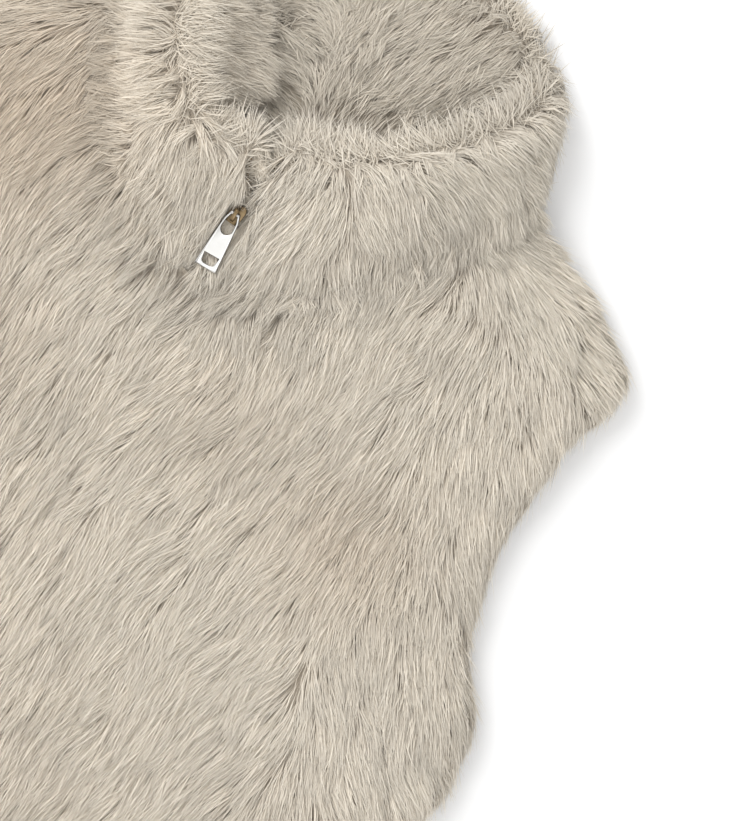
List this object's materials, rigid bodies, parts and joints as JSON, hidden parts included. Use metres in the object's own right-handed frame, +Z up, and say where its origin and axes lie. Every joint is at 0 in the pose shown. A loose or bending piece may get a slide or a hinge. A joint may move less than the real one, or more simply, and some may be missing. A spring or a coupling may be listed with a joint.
{
  "type": "faux fur vest",
  "caption": "Sleeveless faux fur vest with a high stand collar and a front zip, laid flat with its front up.",
  "frame": {"origin": "middle of the box on the surface that the vest lies on", "axes": "+Z up out of the surface, +Y up the garment from hem to collar, +X to the wearer's left"},
  "size_m": [0.505, 0.63, 0.0547],
  "materials": {
    "fur": "long-pile greige faux fur",
    "facing_fur": "faux fur facing, in shade",
    "tape": "woven twill zip tape",
    "zip_metal": "antique brass, lightly worn",
    "tab_metal": "polished nickel"
  },
  "bodies": {
    "vest": {"back": "fur", "front_left": "fur", "front_right": "fur", "collar_left": "fur", "collar_right": "fur", "collar_facing_left": "facing_fur", "collar_facing_right": "facing_fur", "zip_tape_left": "tape", "zip_tape_right": "tape", "zip_chain": "zip_metal", "zip_row_left": "zip_metal", "zip_row_right": "zip_metal", "zip_bottom_stop": "zip_metal", "zip_slider": "zip_metal"},
    "pull_tab": {"zip_pull_tab": "tab_metal"}
  },
  "joints": [
    {"name": "pull_tab_flip", "type": "hinge", "parent": "vest", "child": "pull_tab", "pos_m": [0, 0.14386, 0.03236], "axis": [-0.9962, -0.0872, 0], "range_deg": [0, 155]}
  ]
}
